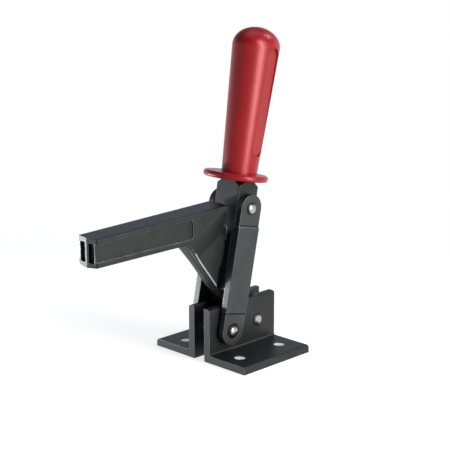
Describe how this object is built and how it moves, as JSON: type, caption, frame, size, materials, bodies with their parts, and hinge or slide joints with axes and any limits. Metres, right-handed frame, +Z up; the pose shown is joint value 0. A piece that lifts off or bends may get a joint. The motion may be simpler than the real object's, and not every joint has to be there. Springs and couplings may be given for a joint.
{
  "type": "toggle clamp",
  "caption": "Vertical hold-down toggle clamp with a flanged two-plate base, a forged arm with a bare nose, two links and an upright handle with a moulded red grip.",
  "frame": {"origin": "centre of the four bolt holes, on the mounting plane under the flanges", "axes": "+Z up from the mounting plane, -X towards the arm's nose, Y across the clamp, whose two halves mirror each other about Y = 0"},
  "size_m": [0.1951, 0.099, 0.2568],
  "materials": {
    "plate_steel": "dark phosphated",
    "link_steel": "satin",
    "forged_steel": "satin grey coated forging",
    "pin_steel": "polished rivet",
    "bush_steel": "dark hardened",
    "grip_plastic": "glossy red"
  },
  "bodies": {
    "base": {"near_bracket": "plate_steel", "far_bracket": "plate_steel", "foot_pin": "pin_steel", "foot_spacer": "bush_steel", "near_arm_pin": "pin_steel", "far_arm_pin": "pin_steel", "near_foot_washer": "bush_steel", "far_foot_washer": "bush_steel"},
    "links": {"near_link": "link_steel", "far_link": "link_steel", "near_foot_bush": "bush_steel", "far_foot_bush": "bush_steel", "handle_pin": "pin_steel"},
    "handle": {"handle": "forged_steel", "handle_bush": "bush_steel", "toggle_pin": "pin_steel", "near_head_washer": "bush_steel", "far_head_washer": "bush_steel", "grip": "grip_plastic"},
    "arm": {"arm": "forged_steel", "arm_bush": "bush_steel", "toggle_bush": "bush_steel"}
  },
  "joints": [
    {"name": "link_pivot", "type": "hinge", "parent": "base", "child": "links", "pos_m": [-0.0175, 0, 0.0235], "axis": [0, 1, 0], "range_deg": [0, 83.51]},
    {"name": "handle_pivot", "type": "hinge", "parent": "links", "child": "handle", "pos_m": [0.00309, 0, 0.1188], "axis": [0, 1, 0], "range_deg": [0, 52.19]},
    {"name": "toggle_pivot", "type": "hinge", "parent": "handle", "child": "arm", "pos_m": [-0.00735, 0, 0.0648], "axis": [0, 1, 0], "range_deg": [-63.44, 0]}
  ],
  "couplings": [
    {"joint": "handle_pivot", "follows": "link_pivot", "ratio": 0.62488},
    {"joint": "toggle_pivot", "follows": "link_pivot", "ratio": -0.75954}
  ]
}
